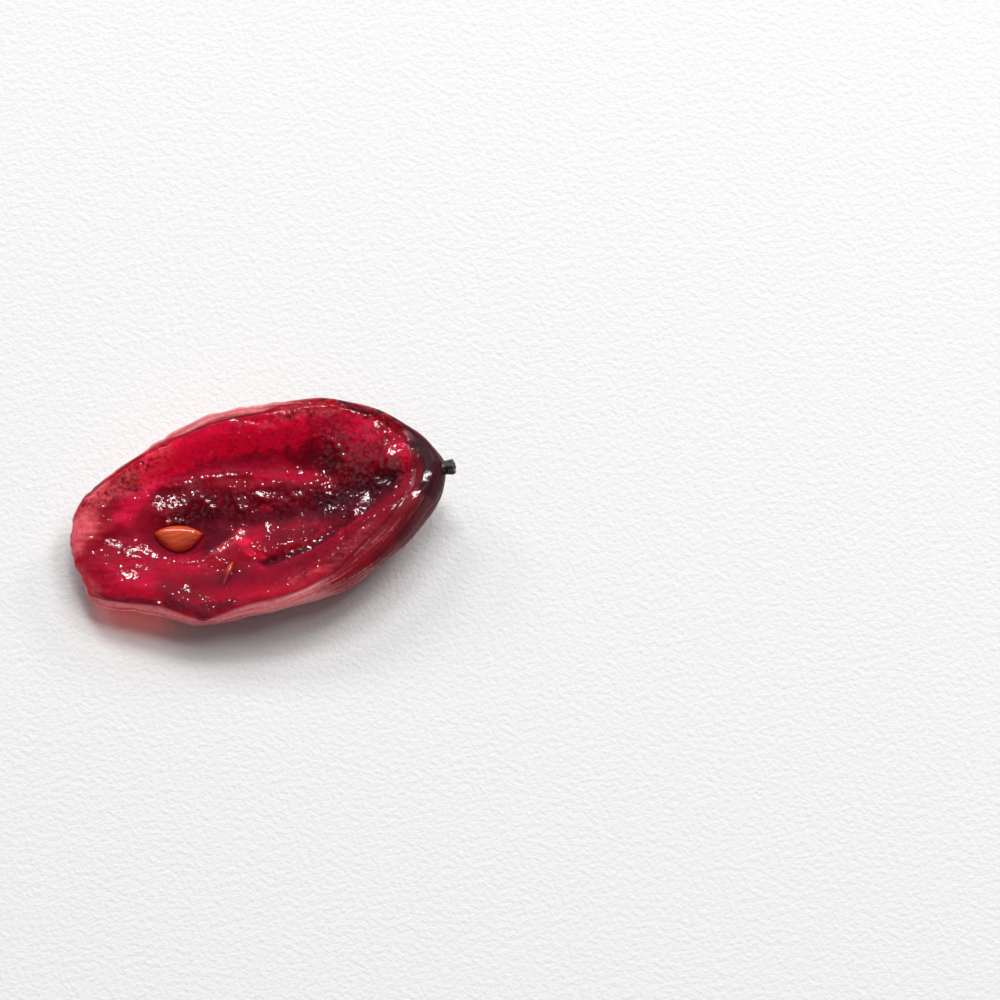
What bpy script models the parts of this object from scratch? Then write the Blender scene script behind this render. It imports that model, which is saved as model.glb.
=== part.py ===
"""Half of a dried cranberry, cut lengthwise and dried into a shallow boat, lying on its skin.

The fruit lies along X with its stem end at +X and its cut face up. The face leans a little towards -Y,
where its edge is lowest. Z is 0 on the small flat under the belly that the fruit rests on, and X and Y
are 0 at the middle of the fruit's box. Sizes are named in millimetres and scaled to metres at the end.
"""

import math

import bmesh
import bpy
import numpy as np
from mathutils import Matrix, Vector, noise

MM = 0.001

# The cut edge, where the cut face meets the skin, going round from the stem end towards +Y:
# (X, Y, height, how far the skin bulges out past the edge).
CUT_EDGE = (
    (6.70, 0.00, 3.20, 1.45),
    (6.45, 1.20, 3.35, 1.10),
    (5.50, 2.40, 3.60, 0.75),
    (4.10, 3.15, 3.78, 0.65),
    (3.30, 3.38, 3.90, 0.68),
    (2.40, 3.45, 3.80, 0.70),
    (0.60, 3.60, 3.80, 0.75),
    (-1.20, 3.70, 3.65, 0.75),
    (-2.90, 3.45, 3.35, 0.60),
    (-4.60, 3.15, 2.95, 0.50),
    (-6.10, 2.65, 2.50, 0.45),
    (-7.15, 2.05, 2.20, 0.35),
    (-7.65, 1.35, 2.00, 0.25),
    (-7.95, 0.50, 1.80, 0.20),
    (-8.00, -0.50, 1.70, 0.15),
    (-7.80, -1.40, 1.60, 0.15),
    (-7.40, -2.20, 1.60, 0.12),
    (-6.40, -2.75, 1.80, 0.10),
    (-5.20, -3.20, 1.95, 0.10),
    (-4.10, -4.00, 1.90, 0.10),
    (-3.10, -4.35, 2.05, 0.12),
    (-1.60, -4.25, 2.40, 0.22),
    (-0.30, -4.35, 2.55, 0.28),
    (0.90, -4.25, 2.65, 0.30),
    (2.25, -3.85, 2.80, 0.70),
    (3.45, -3.10, 2.95, 1.08),
    (4.75, -2.30, 3.10, 1.20),
    (5.75, -1.55, 3.20, 1.30),
    (6.40, -0.80, 3.20, 1.42),
)
FACE_CENTRE = (-0.60, -0.35)
FACE_HALF = (7.40, 4.10)
EDGE_SMOOTHING_DEG = 4.0
EDGE_MEAN_HEIGHT = 2.75

# How the fruit is rounded below the cut edge.
SHOULDER_SHARE = 0.28
SHOULDER_DROP = 0.45
SHOULDER_DROP_PER_BULGE = 0.35
SHOULDER_DOME_PER_BULGE = 0.22
BELLY_CENTRE = (-0.20, -0.35)
BELLY_FLATTENING = 0.09
FOLD_DEPTH = 0.16
FOLD_LENGTH = 3.4
FOLD_WIDTH = 1.05

# The hollowed cut face: a dish, with ridges (height above 0) and grooves (below 0) along lines in plan.
DISH_DEPTH = 1.20
DISH_WALL = (0.42, 0.97)
RIDGES_AND_GROOVES = (
    # The far seed chamber, long and smooth.
    {
        "line": ((-4.9, 2.3), (-3.4, 2.5), (-2.0, 2.65), (-0.3, 2.5), (1.3, 2.2), (2.9, 1.7), (3.3, 1.5)),
        "half_width": 0.68,
        "height": -0.60,
    },
    # The wall left standing between the two chambers, with a thin crest along its far side.
    {
        "line": ((-4.6, 1.8), (-3.5, 1.6), (-2.1, 1.4), (-0.9, 1.2), (0.3, 1.0), (1.6, 0.75), (2.6, 0.5)),
        "half_width": 0.70,
        "height": 0.24,
    },
    {
        "line": ((-3.8, 2.1), (-3.0, 2.12), (-2.1, 2.1), (-1.4, 2.05), (-0.8, 2.1), (0.0, 1.8), (0.7, 1.5)),
        "half_width": 0.16,
        "height": 0.10,
    },
    # The near seed chamber.
    {
        "line": ((-3.3, 0.2), (-1.7, 0.1), (-0.5, -0.1), (0.8, -0.4), (2.2, -0.6)),
        "half_width": 1.15,
        "height": -0.34,
    },
    # The crack where the near chamber meets the near wall.
    {
        "line": ((-0.3, -2.1), (0.75, -2.0), (1.9, -1.87), (2.8, -1.6), (3.6, -1.35)),
        "half_width": 0.30,
        "height": -0.30,
    },
    # A torn shred of the near chamber's lining.
    {"line": ((-2.4, -1.1), (-1.8, -0.95), (-1.2, -0.65), (-0.9, -0.4)), "half_width": 0.24, "height": 0.15},
    # The crease that sets off the thin, pale tip.
    {"line": ((-8.0, 0.0), (-7.4, 0.25), (-6.6, 0.65), (-5.9, 1.0)), "half_width": 0.24, "height": 0.16},
)
HOLLOWS_AND_BUMPS = (
    # The deep hollow towards the stem end.
    {"at": (4.3, -0.1), "half": (1.80, 1.00), "turn_deg": -10.0, "height": -0.55},
    # The thick flesh at the near side of the thin tip.
    {"at": (-5.4, -1.7), "half": (2.20, 1.15), "turn_deg": -8.0, "height": 0.30},
    # The pocket round the seed.
    {"at": (-3.48, -0.20), "half": (1.45, 0.80), "turn_deg": -14.0, "height": -0.24},
    # A bump of flesh between the chamber and the near wall.
    {"at": (-0.75, -1.15), "half": (0.60, 0.45), "turn_deg": 30.0, "height": 0.14},
)
# Swellings that stand across the cut edge at the stem end: a blister of skin, and a long one beside it.
EDGE_SWELLINGS = (
    {"at": (6.12, 0.48), "half": (0.68, 0.62), "turn_deg": 0.0, "height": 0.50},
    {"at": (6.10, -1.60), "half": (0.95, 0.36), "turn_deg": 27.0, "height": 0.22},
)
SWELLING_REACH = (2.2, 2.8)
FLESH_BUMP_HEIGHT = 0.10
FLESH_BUMP_SIZE = 0.85

SEED_LENGTH = 2.12
SEED_WIDTH = 1.14
SEED_THICKNESS = 0.86
SEED_AT = (-3.58, 0.24)
SEED_SHOWING = 0.62
SEED_TURN_DEG = -14.0
SEED_LEAN_DEG = 12.0
SUNK_SEED_LENGTH = 1.80
SUNK_SEED_WIDTH = 0.40
SUNK_SEED_THICKNESS = 0.80
SUNK_SEED_AT = (-2.05, -2.38)
SUNK_SEED_TURN_DEG = 238.0
SUNK_SEED_SHOWING = 0.18
SEED_CLEARANCE = 0.10
SEED_FULL_SIDE = 1.36

STEM_RADIUS = 0.27
STEM_TIP_RADIUS = 0.31
STEM_LENGTH = 1.25
STEM_BASE = (7.20, -0.08, 2.42)
STEM_TURN_DEG = -8.0
STEM_RISE_DEG = 12.0

# How many squares the fruit's surface has from its middle to its corners, along each axis.
SQUARES_X = 20
SQUARES_Y = 12
SQUARES_Z = 12

CRANBERRY_RED = (0.300, 0.012, 0.030, 1.0)
SEED_ORANGE = (0.420, 0.110, 0.035, 1.0)


def smooth_step(low, high, value):
    """0 below low, 1 above high, and a smooth rise between them."""
    t = np.clip((value - low) / (high - low), 0.0, 1.0)
    return t * t * (3.0 - 2.0 * t)


def round_the_edge(column, theta):
    """One column of CUT_EDGE at the angles theta, as a smooth closed curve."""
    edge = np.array(CUT_EDGE)
    ahead = (edge[:, 0] - FACE_CENTRE[0]) / FACE_HALF[0]
    aside = (edge[:, 1] - FACE_CENTRE[1]) / FACE_HALF[1]
    station_deg = np.degrees(np.arctan2(aside, ahead)) % 360.0
    every_deg = np.arange(360.0)
    order = np.argsort(station_deg)
    values = np.interp(every_deg, station_deg[order], edge[order, column], period=360.0)
    offsets = np.minimum(every_deg, 360.0 - every_deg)
    kernel = np.exp(-0.5 * (offsets / EDGE_SMOOTHING_DEG) ** 2)
    kernel /= kernel.sum()
    smooth = np.real(np.fft.ifft(np.fft.fft(values) * np.fft.fft(kernel)))
    return np.interp(np.degrees(theta) % 360.0, every_deg, smooth, period=360.0)


def noise_at(points, sizes, offset):
    """Smooth noise from -1 to 1 at each point, with bumps of the given sizes along X, Y and Z."""
    scaled = points / np.array(sizes) + offset
    return np.array([noise.noise(Vector(p)) for p in scaled])


def distance_to_line(x, y, line):
    """How far each plan point is from a line of several straight pieces."""
    nearest = np.full(x.shape, np.inf)
    for (ax, ay), (bx, by) in zip(line[:-1], line[1:]):
        along = np.array((bx - ax, by - ay))
        t = ((x - ax) * along[0] + (y - ay) * along[1]) / (along @ along)
        t = np.clip(t, 0.0, 1.0)
        nearest = np.minimum(nearest, np.hypot(x - ax - t * along[0], y - ay - t * along[1]))
    return nearest


def oval_share(x, y, form):
    """How far out each plan point is in a form's turned oval: 0 at its middle, 1 on its edge."""
    turn = math.radians(form["turn_deg"])
    across, up = x - form["at"][0], y - form["at"][1]
    ahead = (across * math.cos(turn) + up * math.sin(turn)) / form["half"][0]
    aside = (up * math.cos(turn) - across * math.sin(turn)) / form["half"][1]
    return np.hypot(ahead, aside)


def face_relief(x, y):
    """The ridges, grooves, hollows and bumps of the cut face, as a height to add to the dish."""
    height = np.zeros_like(x)
    for form in RIDGES_AND_GROOVES:
        share = distance_to_line(x, y, form["line"]) / form["half_width"]
        height += form["height"] * np.exp(-(share**2))
    for form in HOLLOWS_AND_BUMPS:
        height += form["height"] * np.exp(-(oval_share(x, y, form) ** 3))
    return height


def edge_swellings(x, y, z):
    """The swellings across the cut edge, as a height to add where the surface stands high enough."""
    height = np.zeros_like(x)
    for form in EDGE_SWELLINGS:
        height += form["height"] * np.exp(-(oval_share(x, y, form) ** 3))
    return height * smooth_step(*SWELLING_REACH, z)


def face_points(theta, share):
    """Points of the cut face, from its centre (share 0) to the cut edge (share 1)."""
    x = FACE_CENTRE[0] + (round_the_edge(0, theta) - FACE_CENTRE[0]) * share
    y = FACE_CENTRE[1] + (round_the_edge(1, theta) - FACE_CENTRE[1]) * share
    lean = (round_the_edge(2, theta) - EDGE_MEAN_HEIGHT) * share**1.5
    z = EDGE_MEAN_HEIGHT + lean - DISH_DEPTH * (1.0 - smooth_step(*DISH_WALL, share))
    inside = 1.0 - smooth_step(0.80, 1.0, share)
    bumps = noise_at(np.column_stack((x, y, z)), (FLESH_BUMP_SIZE,) * 3, 7.3)
    z += inside * (face_relief(x, y) + FLESH_BUMP_HEIGHT * bumps)
    return np.column_stack((x, y, z + edge_swellings(x, y, z)))


def skin_points(theta, share):
    """Points of the skin, from the cut edge (share 0) over the shoulder to the belly's centre (share 1)."""
    edge = np.column_stack([round_the_edge(column, theta) for column in range(4)])
    outward = edge[:, :2] - np.array(BELLY_CENTRE)
    reach = np.linalg.norm(outward, axis=1, keepdims=True)
    outward /= reach
    bulge = edge[:, 3]
    drop = SHOULDER_DROP + SHOULDER_DROP_PER_BULGE * bulge
    turn = np.clip(share / SHOULDER_SHARE, 0.0, 1.0) * math.pi / 2.0
    past_edge = bulge * np.sin(turn)
    z = edge[:, 2] - drop * (1.0 - np.cos(turn))
    z += SHOULDER_DOME_PER_BULGE * bulge * np.sin(2.0 * turn)
    sink = np.clip((share - SHOULDER_SHARE) / (1.0 - SHOULDER_SHARE), 0.0, 1.0) * math.pi / 2.0
    radius = (reach[:, 0] + past_edge) * np.cos(sink)
    z = z * (1.0 - np.sin(sink))
    plan = np.array(BELLY_CENTRE) + outward * radius[:, None]
    folds = noise_at(np.column_stack((plan, z)), (FOLD_LENGTH, FOLD_WIDTH, FOLD_WIDTH), 2.7)
    folded = smooth_step(0.0, 0.25, share) * (1.0 - smooth_step(0.70, 0.92, share))
    plan += outward * (FOLD_DEPTH * folds * folded)[:, None]
    z = np.maximum(z - BELLY_FLATTENING, 0.0)
    return np.column_stack((plan, z + edge_swellings(*plan.T, z)))


def gridded_ball():
    """A ball made from a gridded cube, with each point's angle round Z and its share of the way from the
    top to the middle (0 to 1) and on to the bottom (1 to 2)."""
    mesh = bmesh.new()
    bmesh.ops.create_cube(mesh, size=2.0)
    for axis, squares in enumerate((SQUARES_X, SQUARES_Y, SQUARES_Z)):
        lengthwise = [e for e in mesh.edges if abs(e.verts[0].co[axis] - e.verts[1].co[axis]) > 1.0]
        bmesh.ops.subdivide_edges(mesh, edges=lengthwise, cuts=2 * squares - 1, use_grid_fill=True)
    cube = np.array([v.co for v in mesh.verts])
    ball = np.tan(cube * math.pi / 4.0)
    ball /= np.linalg.norm(ball, axis=1, keepdims=True)
    theta = np.arctan2(ball[:, 1], ball[:, 0])
    share = np.arccos(np.clip(ball[:, 2], -1.0, 1.0)) / (math.pi / 2.0)
    share[np.abs(cube[:, 2]) < 1e-6] = 1.0
    return mesh, theta, share


def new_object(name, mesh, collection, material=None):
    """A named object for a bmesh whose points are in millimetres."""
    data = bpy.data.meshes.new(name)
    mesh.to_mesh(data)
    mesh.free()
    data.transform(Matrix.Scale(MM, 4))
    made = bpy.data.objects.new(name, data)
    if material:
        data.materials.append(material)
    collection.objects.link(made)
    return made


def make_material(name, colour, roughness):
    material = bpy.data.materials.new(name)
    material.use_nodes = True
    shader = material.node_tree.nodes["Principled BSDF"]
    shader.inputs["Base Color"].default_value = colour
    shader.inputs["Roughness"].default_value = roughness
    shader.inputs["Metallic"].default_value = 0.0
    material.diffuse_color = colour
    return material


def make_fruit(collection, material):
    mesh, theta, share = gridded_ball()
    points = np.where((share <= 1.0)[:, None], face_points(theta, share), skin_points(theta, share - 1.0))
    for vertex, point in zip(mesh.verts, points):
        vertex.co = point
    bmesh.ops.triangulate(mesh, faces=mesh.faces)
    return new_object("berry", mesh, collection, material)


def make_stem(collection):
    """The dried stub of the stalk, a peg that flares at its broken end."""
    mesh = bmesh.new()
    bmesh.ops.create_cone(
        mesh, cap_ends=True, segments=14, radius1=STEM_RADIUS, radius2=STEM_TIP_RADIUS, depth=STEM_LENGTH
    )
    tip = [e for e in mesh.edges if all(v.co.z > 0.0 for v in e.verts)]
    bmesh.ops.bevel(mesh, geom=tip, offset=0.10, segments=2, affect="EDGES", profile=0.5)
    point_ahead = Matrix.Rotation(math.radians(90.0 - STEM_RISE_DEG), 4, "Y")
    turn = Matrix.Rotation(math.radians(STEM_TURN_DEG), 4, "Z")
    forward = Matrix.Translation((0.0, 0.0, STEM_LENGTH / 2.0))
    mesh.transform(Matrix.Translation(STEM_BASE) @ turn @ point_ahead @ forward)
    return new_object("stem_stub", mesh, collection)


def seed_mesh(length, width, thickness, grow=0.0):
    """A seed along X, pointed at both ends, nearly straight on its +Y side and full on its -Y side. It can be
    grown all over, for a pocket."""
    mesh = bmesh.new()
    bmesh.ops.create_uvsphere(mesh, u_segments=18, v_segments=12, radius=1.0)
    mesh.transform(Matrix.Rotation(math.pi / 2.0, 4, "Y"))
    for vertex in mesh.verts:
        ahead, aside, up = vertex.co
        pointed = (1.0 - abs(ahead) ** 2.1) / max(1e-6, math.sqrt(1.0 - min(1.0, ahead * ahead)))
        fuller = SEED_FULL_SIDE if aside < 0.0 else 2.0 - SEED_FULL_SIDE
        reach = length / 2.0 + grow
        half_width = width / 2.0 * pointed * fuller + grow
        half_thickness = thickness / 2.0 * pointed + grow
        vertex.co = (ahead * reach, aside * half_width, up * half_thickness)
    return mesh


def seed_place(at, turn_deg, lean_deg):
    lean = Matrix.Rotation(math.radians(lean_deg), 4, "X")
    return Matrix.Translation(at) @ Matrix.Rotation(math.radians(turn_deg), 4, "Z") @ lean


def seed_and_pocket(name, sizes, place, parts, cutters, material):
    """A seed, and the cutter for the pocket that it lies in with a little clearance."""
    seed = seed_mesh(*sizes)
    seed.transform(place)
    made = new_object(name, seed, parts, material)
    pocket = seed_mesh(*sizes, grow=SEED_CLEARANCE)
    pocket.transform(place)
    cutter = new_object(name + "_pocket", pocket, cutters)
    cutter.hide_render = True
    cutter.display_type = "WIRE"
    return made, cutter


def apply_boolean(target, other, operation):
    """Joins other to target, or cuts it out, and keeps the result as target's own mesh."""
    step = target.modifiers.new(operation.title(), "BOOLEAN")
    step.operation = operation
    step.object = other
    step.solver = "EXACT"
    graph = bpy.context.evaluated_depsgraph_get()
    result = bpy.data.meshes.new_from_object(target.evaluated_get(graph))
    target.modifiers.remove(step)
    target.data = result
    bpy.data.objects.remove(other)


def height_of_face(berry, x, y):
    """The cut face's height above a plan point, in millimetres."""
    above = Vector((x * MM, y * MM, 10.0 * MM))
    hit, place, _, _ = berry.ray_cast(above, Vector((0.0, 0.0, -1.0)))
    return place.z / MM


def centre_in_plan(objects):
    """Moves the fruit so that the middle of its box is over the origin, keeping the belly's flat at Z 0."""
    points = np.array([v.co for made in objects for v in made.data.vertices])
    middle = (points.min(axis=0) + points.max(axis=0)) / 2.0
    for made in objects:
        made.data.transform(Matrix.Translation((-middle[0], -middle[1], 0.0)))


def main():
    for old in list(bpy.data.objects):
        bpy.data.objects.remove(old)
    parts = bpy.data.collections.new("dried_cranberry")
    cutters = bpy.data.collections.new("cutters")
    for collection in (parts, cutters):
        bpy.context.scene.collection.children.link(collection)
    flesh = make_material("cranberry", CRANBERRY_RED, 0.25)
    seed_coat = make_material("seed_coat", SEED_ORANGE, 0.35)

    berry = make_fruit(parts, flesh)
    bpy.context.view_layer.update()
    apply_boolean(berry, make_stem(cutters), "UNION")

    seed_size = (SEED_LENGTH, SEED_WIDTH, SEED_THICKNESS)
    sunk_size = (SUNK_SEED_LENGTH, SUNK_SEED_WIDTH, SUNK_SEED_THICKNESS)
    places = (
        ("seed", seed_size, SEED_AT, SEED_SHOWING, SEED_TURN_DEG, SEED_LEAN_DEG),
        ("sunken_seed", sunk_size, SUNK_SEED_AT, SUNK_SEED_SHOWING, SUNK_SEED_TURN_DEG, 0.0),
    )
    made = [berry]
    for name, sizes, (x, y), showing, turn_deg, lean_deg in places:
        middle_height = height_of_face(berry, x, y) + showing - sizes[2] / 2.0
        place = seed_place((x, y, middle_height), turn_deg, lean_deg)
        seed, cutter = seed_and_pocket(name, sizes, place, parts, cutters, seed_coat)
        bpy.context.view_layer.update()
        apply_boolean(berry, cutter, "DIFFERENCE")
        made.append(seed)
    centre_in_plan(made)
    for part in made:
        part.data.shade_smooth()
        part.data.set_sharp_from_angle(angle=math.radians(50.0))


main()
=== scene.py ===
"""Half of a dried cranberry, cut lengthwise, lying on its skin on pale paper under soft studio light."""

import math

import bmesh
import bpy
import numpy as np
from mathutils import Matrix, Vector, noise


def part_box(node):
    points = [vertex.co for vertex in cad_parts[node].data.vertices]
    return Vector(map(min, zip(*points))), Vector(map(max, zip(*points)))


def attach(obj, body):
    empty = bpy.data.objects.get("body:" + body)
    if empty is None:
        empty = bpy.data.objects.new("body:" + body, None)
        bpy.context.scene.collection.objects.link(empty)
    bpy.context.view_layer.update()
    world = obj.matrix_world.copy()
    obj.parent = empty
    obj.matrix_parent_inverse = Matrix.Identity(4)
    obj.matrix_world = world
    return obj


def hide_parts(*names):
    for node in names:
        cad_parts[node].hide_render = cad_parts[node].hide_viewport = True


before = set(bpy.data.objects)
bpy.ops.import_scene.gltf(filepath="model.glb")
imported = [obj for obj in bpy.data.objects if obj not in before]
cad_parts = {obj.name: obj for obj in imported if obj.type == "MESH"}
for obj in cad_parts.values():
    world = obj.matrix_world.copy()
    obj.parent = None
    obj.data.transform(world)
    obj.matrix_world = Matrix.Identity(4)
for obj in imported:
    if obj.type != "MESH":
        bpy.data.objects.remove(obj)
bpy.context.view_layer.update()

# Flesh and skin
# The fruit itself: a cranberry sliced lengthwise, sugared and dried until its flesh shrank into a dark red,
# sticky gel and its thin skin folded. Flesh and skin have grown together, so they are one mesh with one
# finish, and each point of the mesh knows what it is: skin, crumpled film, pale tip, dark stem end.

# Sizes and places are in millimetres, and the frame's metres come from this.
MM = 0.001

# The cut edge, where the cut face meets the skin, going round from the stem end towards +Y:
# (X, Y, height, how far the skin bulges out past the edge).
CUT_EDGE = (
    (6.70, 0.00, 3.20, 1.45),
    (6.45, 1.20, 3.35, 1.10),
    (5.50, 2.40, 3.60, 0.75),
    (4.10, 3.15, 3.78, 0.65),
    (3.30, 3.38, 3.90, 0.68),
    (2.40, 3.45, 3.80, 0.70),
    (0.60, 3.60, 3.80, 0.75),
    (-1.20, 3.70, 3.65, 0.75),
    (-2.90, 3.45, 3.35, 0.60),
    (-4.60, 3.15, 2.95, 0.50),
    (-6.10, 2.65, 2.50, 0.45),
    (-7.15, 2.05, 2.20, 0.35),
    (-7.65, 1.35, 2.00, 0.25),
    (-7.95, 0.50, 1.80, 0.20),
    (-8.00, -0.50, 1.70, 0.15),
    (-7.80, -1.40, 1.60, 0.15),
    (-7.40, -2.20, 1.60, 0.12),
    (-6.40, -2.75, 1.80, 0.10),
    (-5.20, -3.20, 1.95, 0.10),
    (-4.10, -4.00, 1.90, 0.10),
    (-3.10, -4.35, 2.05, 0.12),
    (-1.60, -4.25, 2.40, 0.22),
    (-0.30, -4.35, 2.55, 0.28),
    (0.90, -4.25, 2.65, 0.30),
    (2.25, -3.85, 2.80, 0.70),
    (3.45, -3.10, 2.95, 1.08),
    (4.75, -2.30, 3.10, 1.20),
    (5.75, -1.55, 3.20, 1.30),
    (6.40, -0.80, 3.20, 1.42),
)
# The middle of the cut face, and about half its length and width.
FACE_CENTRE = (-0.60, -0.35)
FACE_HALF = (7.40, 4.10)
EDGE_SMOOTHING_DEG = 3.0
EDGE_MEAN_HEIGHT = 2.75
# The middle of the whole piece, which the frame has at its origin.
BOX_MIDDLE = (0.149, -0.058)

# The skin: a rounded shoulder past the cut edge, then a belly that is flat where it rests.
SHOULDER_SHARE = 0.28
SHOULDER_DROP = 0.45
SHOULDER_DROP_PER_BULGE = 0.35
SHOULDER_DOME_PER_BULGE = 0.22
BELLY_CENTRE = (-0.20, -0.35)
BELLY_FLATTENING = 0.09
FOLD_DEPTH = 0.16
FOLD_LENGTH = 3.4
FOLD_WIDTH = 1.05
# The shares of the way down the skin over which the folds grow in, and over which they fade out again.
FOLDS_GROW_IN = (0.0, 0.25)
FOLDS_FADE_OUT = (0.70, 0.92)

# The cut face is a dish, which rises to the edge between these shares of the way out.
DISH_DEPTH = 1.20
DISH_WALL = (0.42, 0.97)
# Ridges (height above 0) and grooves (below 0), each along a line on the cut face.
RIDGES_AND_GROOVES = (
    # The far seed chamber, long and smooth.
    {
        "line": ((-4.9, 2.3), (-3.4, 2.5), (-2.0, 2.65), (-0.3, 2.5), (1.3, 2.2), (2.9, 1.7), (3.3, 1.5)),
        "half_width": 0.68,
        "height": -0.60,
    },
    # The wall left standing between the two chambers, with a thin crest along its far side.
    {
        "line": ((-4.6, 1.8), (-3.5, 1.6), (-2.1, 1.4), (-0.9, 1.2), (0.3, 1.0), (1.6, 0.75), (2.6, 0.5)),
        "half_width": 0.70,
        "height": 0.24,
    },
    {
        "line": ((-3.8, 2.1), (-3.0, 2.12), (-2.1, 2.1), (-1.4, 2.05), (-0.8, 2.1), (0.0, 1.8), (0.7, 1.5)),
        "half_width": 0.16,
        "height": 0.10,
    },
    # The near seed chamber.
    {
        "line": ((-3.3, 0.2), (-1.7, 0.1), (-0.5, -0.1), (0.8, -0.4), (2.2, -0.6)),
        "half_width": 1.15,
        "height": -0.34,
    },
    # The crack where the near chamber meets the near wall.
    {
        "line": ((-0.3, -2.1), (0.75, -2.0), (1.9, -1.87), (2.8, -1.6), (3.6, -1.35)),
        "half_width": 0.30,
        "height": -0.30,
    },
    # A torn shred of the near chamber's lining.
    {
        "line": ((-2.4, -1.1), (-1.8, -0.95), (-1.2, -0.65), (-0.9, -0.4)),
        "half_width": 0.24,
        "height": 0.09,
    },
    # The crease that sets off the thin, pale tip.
    {
        "line": ((-8.0, 0.0), (-7.4, 0.25), (-6.6, 0.65), (-5.9, 1.0)),
        "half_width": 0.24,
        "height": 0.16,
    },
)
HOLLOWS_AND_BUMPS = (
    # The deep hollow towards the stem end.
    {"at": (4.3, -0.1), "half": (1.80, 1.00), "turn_deg": -10.0, "height": -0.55},
    # The thick flesh at the near side of the thin tip.
    {"at": (-5.4, -1.7), "half": (2.20, 1.15), "turn_deg": -8.0, "height": 0.30},
    # The pocket round the seed.
    {"at": (-3.48, -0.20), "half": (1.45, 0.80), "turn_deg": -14.0, "height": -0.24},
    # A bump of flesh between the chamber and the near wall.
    {"at": (-0.75, -1.15), "half": (0.60, 0.45), "turn_deg": 30.0, "height": 0.14},
)
# Swellings that stand across the cut edge at the stem end: a blister of skin, and a long one beside it.
EDGE_SWELLINGS = (
    {"at": (6.12, 0.48), "half": (0.68, 0.62), "turn_deg": 0.0, "height": 0.50},
    {"at": (6.10, -1.60), "half": (0.95, 0.36), "turn_deg": 27.0, "height": 0.22},
)
# The heights between which a swelling grows in, so that it leaves the underside alone.
SWELLING_REACH = (2.2, 2.8)
FLESH_BUMP_HEIGHT = 0.10
FLESH_BUMP_SIZE = 0.85
# The share of the way out past which all this relief fades, so that it leaves the cut edge alone.
RELIEF_FADES_PAST = 0.80
# Half the number of squares along each edge of the gridded cube that the fruit is shaped from.
HALF_SQUARES = (100, 60, 50)

# Small pits in the wall between the chambers (height below 0) and lumps on the far rim (above 0):
# (X, Y), (half length, half width), height.
LUMPS = (
    ((-1.25, 1.02), (0.28, 0.42), -0.14),
    ((-0.14, 0.62), (0.20, 0.30), -0.12),
    ((1.05, 0.72), (0.30, 0.30), -0.12),
    ((3.95, 3.40), (0.26, 0.22), 0.24),
    ((5.50, 2.60), (0.24, 0.22), 0.24),
    ((6.05, 2.25), (0.26, 0.22), 0.28),
    ((6.50, 1.90), (0.22, 0.20), 0.18),
)

# Where the film of syrup on the flesh dried crumpled, so that it glints: a line on the cut face, the half
# width of the strip along it, and how strongly it is crumpled there. A pool of syrup is a short line.
CRUMPLED_FILM = (
    (((-3.90, 1.42), (-3.35, 1.40)), 0.50, 1.0),
    (((-3.05, 1.60), (-2.50, 1.70)), 0.38, 0.9),
    (((-2.24, 1.36), (-2.10, 1.36)), 0.15, 1.0),
    (((-2.10, 1.14), (-1.96, 1.14)), 0.15, 1.0),
    (((-1.96, 0.92), (-1.82, 0.92)), 0.14, 1.0),
    (((-0.72, 0.86), (-0.58, 0.86)), 0.17, 1.0),
    (((-0.74, 0.62), (-0.60, 0.62)), 0.17, 1.0),
    (((0.10, 0.90), (0.60, 0.72)), 0.22, 0.9),
    (((1.55, 0.55), (1.90, 0.52)), 0.15, 0.9),
    (((2.04, 1.45), (2.04, 1.75)), 0.12, 0.8),
    (((-3.50, 2.08), (-2.06, 2.06), (-0.88, 2.02), (-0.02, 1.80)), 0.10, 0.8),
    (((-6.60, 0.28), (-6.20, 0.00)), 0.22, 0.42),
    (((-5.85, -0.35), (-5.50, -0.50)), 0.26, 1.0),
    (((-5.25, -0.20), (-4.80, -0.60)), 0.24, 1.0),
    (((-6.35, -1.45), (-6.00, -1.50)), 0.26, 1.0),
    (((-5.60, -1.30), (-5.20, -1.20)), 0.14, 1.0),
    (((-4.50, -0.70), (-4.00, -1.02)), 0.10, 0.8),
    (((-4.00, -1.02), (-3.70, -1.22), (-2.70, -1.25)), 0.10, 0.44),
    (((-3.92, -2.72), (-3.85, -2.62)), 0.20, 0.9),
    (((-2.40, -1.05), (-1.86, -0.95), (-1.22, -0.66), (-0.92, -0.38)), 0.18, 0.62),
    (((-0.30, 3.62), (0.52, 3.32), (1.33, 3.04)), 0.12, 0.8),
    (((3.70, 2.12), (3.84, 2.12)), 0.13, 1.0),
    (((3.82, 1.84), (3.96, 1.84)), 0.13, 1.0),
    (((3.86, 1.52), (4.00, 1.52)), 0.14, 1.0),
    (((3.66, 1.22), (3.80, 1.22)), 0.14, 1.0),
    (((4.05, -1.05), (4.45, -0.55)), 0.34, 1.0),
    (((5.20, 0.05), (5.50, -0.15)), 0.24, 1.0),
    (((5.74, 0.24), (5.90, 0.24)), 0.24, 1.0),
    (((5.86, 0.62), (6.04, 0.62)), 0.26, 1.0),
    (((5.40, 0.30), (5.42, 0.70), (5.75, 1.06)), 0.07, 1.0),
    (((6.50, 0.86), (6.76, 0.44)), 0.05, 1.0),
    (((5.98, -1.62), (6.36, -1.44)), 0.15, 1.0),
    (((3.00, -2.20), (3.05, -1.70)), 0.18, 0.9),
    (((1.05, -1.90), (1.60, -1.95)), 0.18, 1.0),
    (((0.55, -2.25), (0.65, -2.05)), 0.14, 0.9),
    (((0.20, -0.50), (0.30, -0.35)), 0.16, 0.8),
    (((-3.95, 0.80), (-3.55, 0.82), (-3.05, 0.68)), 0.10, 1.0),
    (((7.02, -0.74), (7.14, -0.62)), 0.14, 1.0),
)

# How far the pools of syrup lean back from level.
LEVEL_TILT = -0.06

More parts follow.
